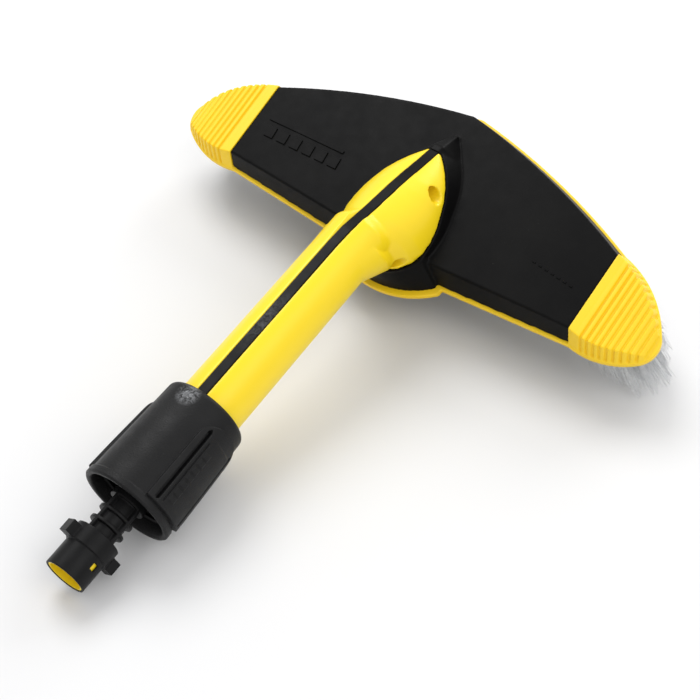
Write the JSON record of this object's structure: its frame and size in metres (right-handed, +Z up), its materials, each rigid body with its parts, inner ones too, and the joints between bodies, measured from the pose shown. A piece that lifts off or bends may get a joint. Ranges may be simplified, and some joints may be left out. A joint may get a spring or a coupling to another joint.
{
  "type": "wash brush",
  "caption": "Wide wash brush head with ribbed end bumpers on a fixed angled arm, with a turning union nut and a bayonet water inlet.",
  "frame": {"origin": "middle of the bounding box's bottom: the ground under the brush as it lies on its near bristles and on the rim of its union nut", "axes": "+X along the head, -Y towards the water inlet, +Z up"},
  "size_m": [0.3062, 0.349, 0.0783],
  "materials": {
    "black_shell": "fine satin grain",
    "yellow_rubber": "soft matt moulding",
    "black_plate": "matt",
    "bristles": "soft pale grey filament tufts",
    "steel": "zinc plated",
    "grey_plastic": "moulded",
    "seal_rubber": "matt",
    "brass_nozzle": "turned",
    "yellow_plastic": "satin gloss",
    "black_strip": "satin",
    "tube_rubber": "smooth",
    "black_connector": "satin",
    "black_nut": "fine grain"
  },
  "bodies": {
    "head": {"head_shell": "black_shell", "bumper": "yellow_rubber", "brush_plate": "black_plate", "bristle_field": "bristles", "plate_screws": "steel", "water_channel": "grey_plastic", "channel_gasket": "seal_rubber", "spray_nozzles": "brass_nozzle", "arm_left": "yellow_plastic", "arm_right": "yellow_plastic", "spine_strip": "black_strip", "arm_screws": "steel", "water_tube": "tube_rubber", "tube_seal_front": "seal_rubber", "tube_seal_rear": "seal_rubber", "connector_body": "black_connector", "connector_liner": "yellow_plastic", "inlet_seal": "seal_rubber", "stop_ring": "black_connector"},
    "nut_carrier": {"thrust_washer": "grey_plastic"},
    "nut": {"union_nut": "black_nut"}
  },
  "joints": [
    {"name": "nut_slide", "type": "slide", "parent": "head", "child": "nut_carrier", "axis": [0, 0.976, 0.2178], "range_m": [0, 0.018]},
    {"name": "nut_turn", "type": "hinge", "parent": "nut_carrier", "child": "nut", "pos_m": [0, -0.0997, 0.03051], "axis": [0, -0.976, -0.2178], "continuous": true}
  ]
}
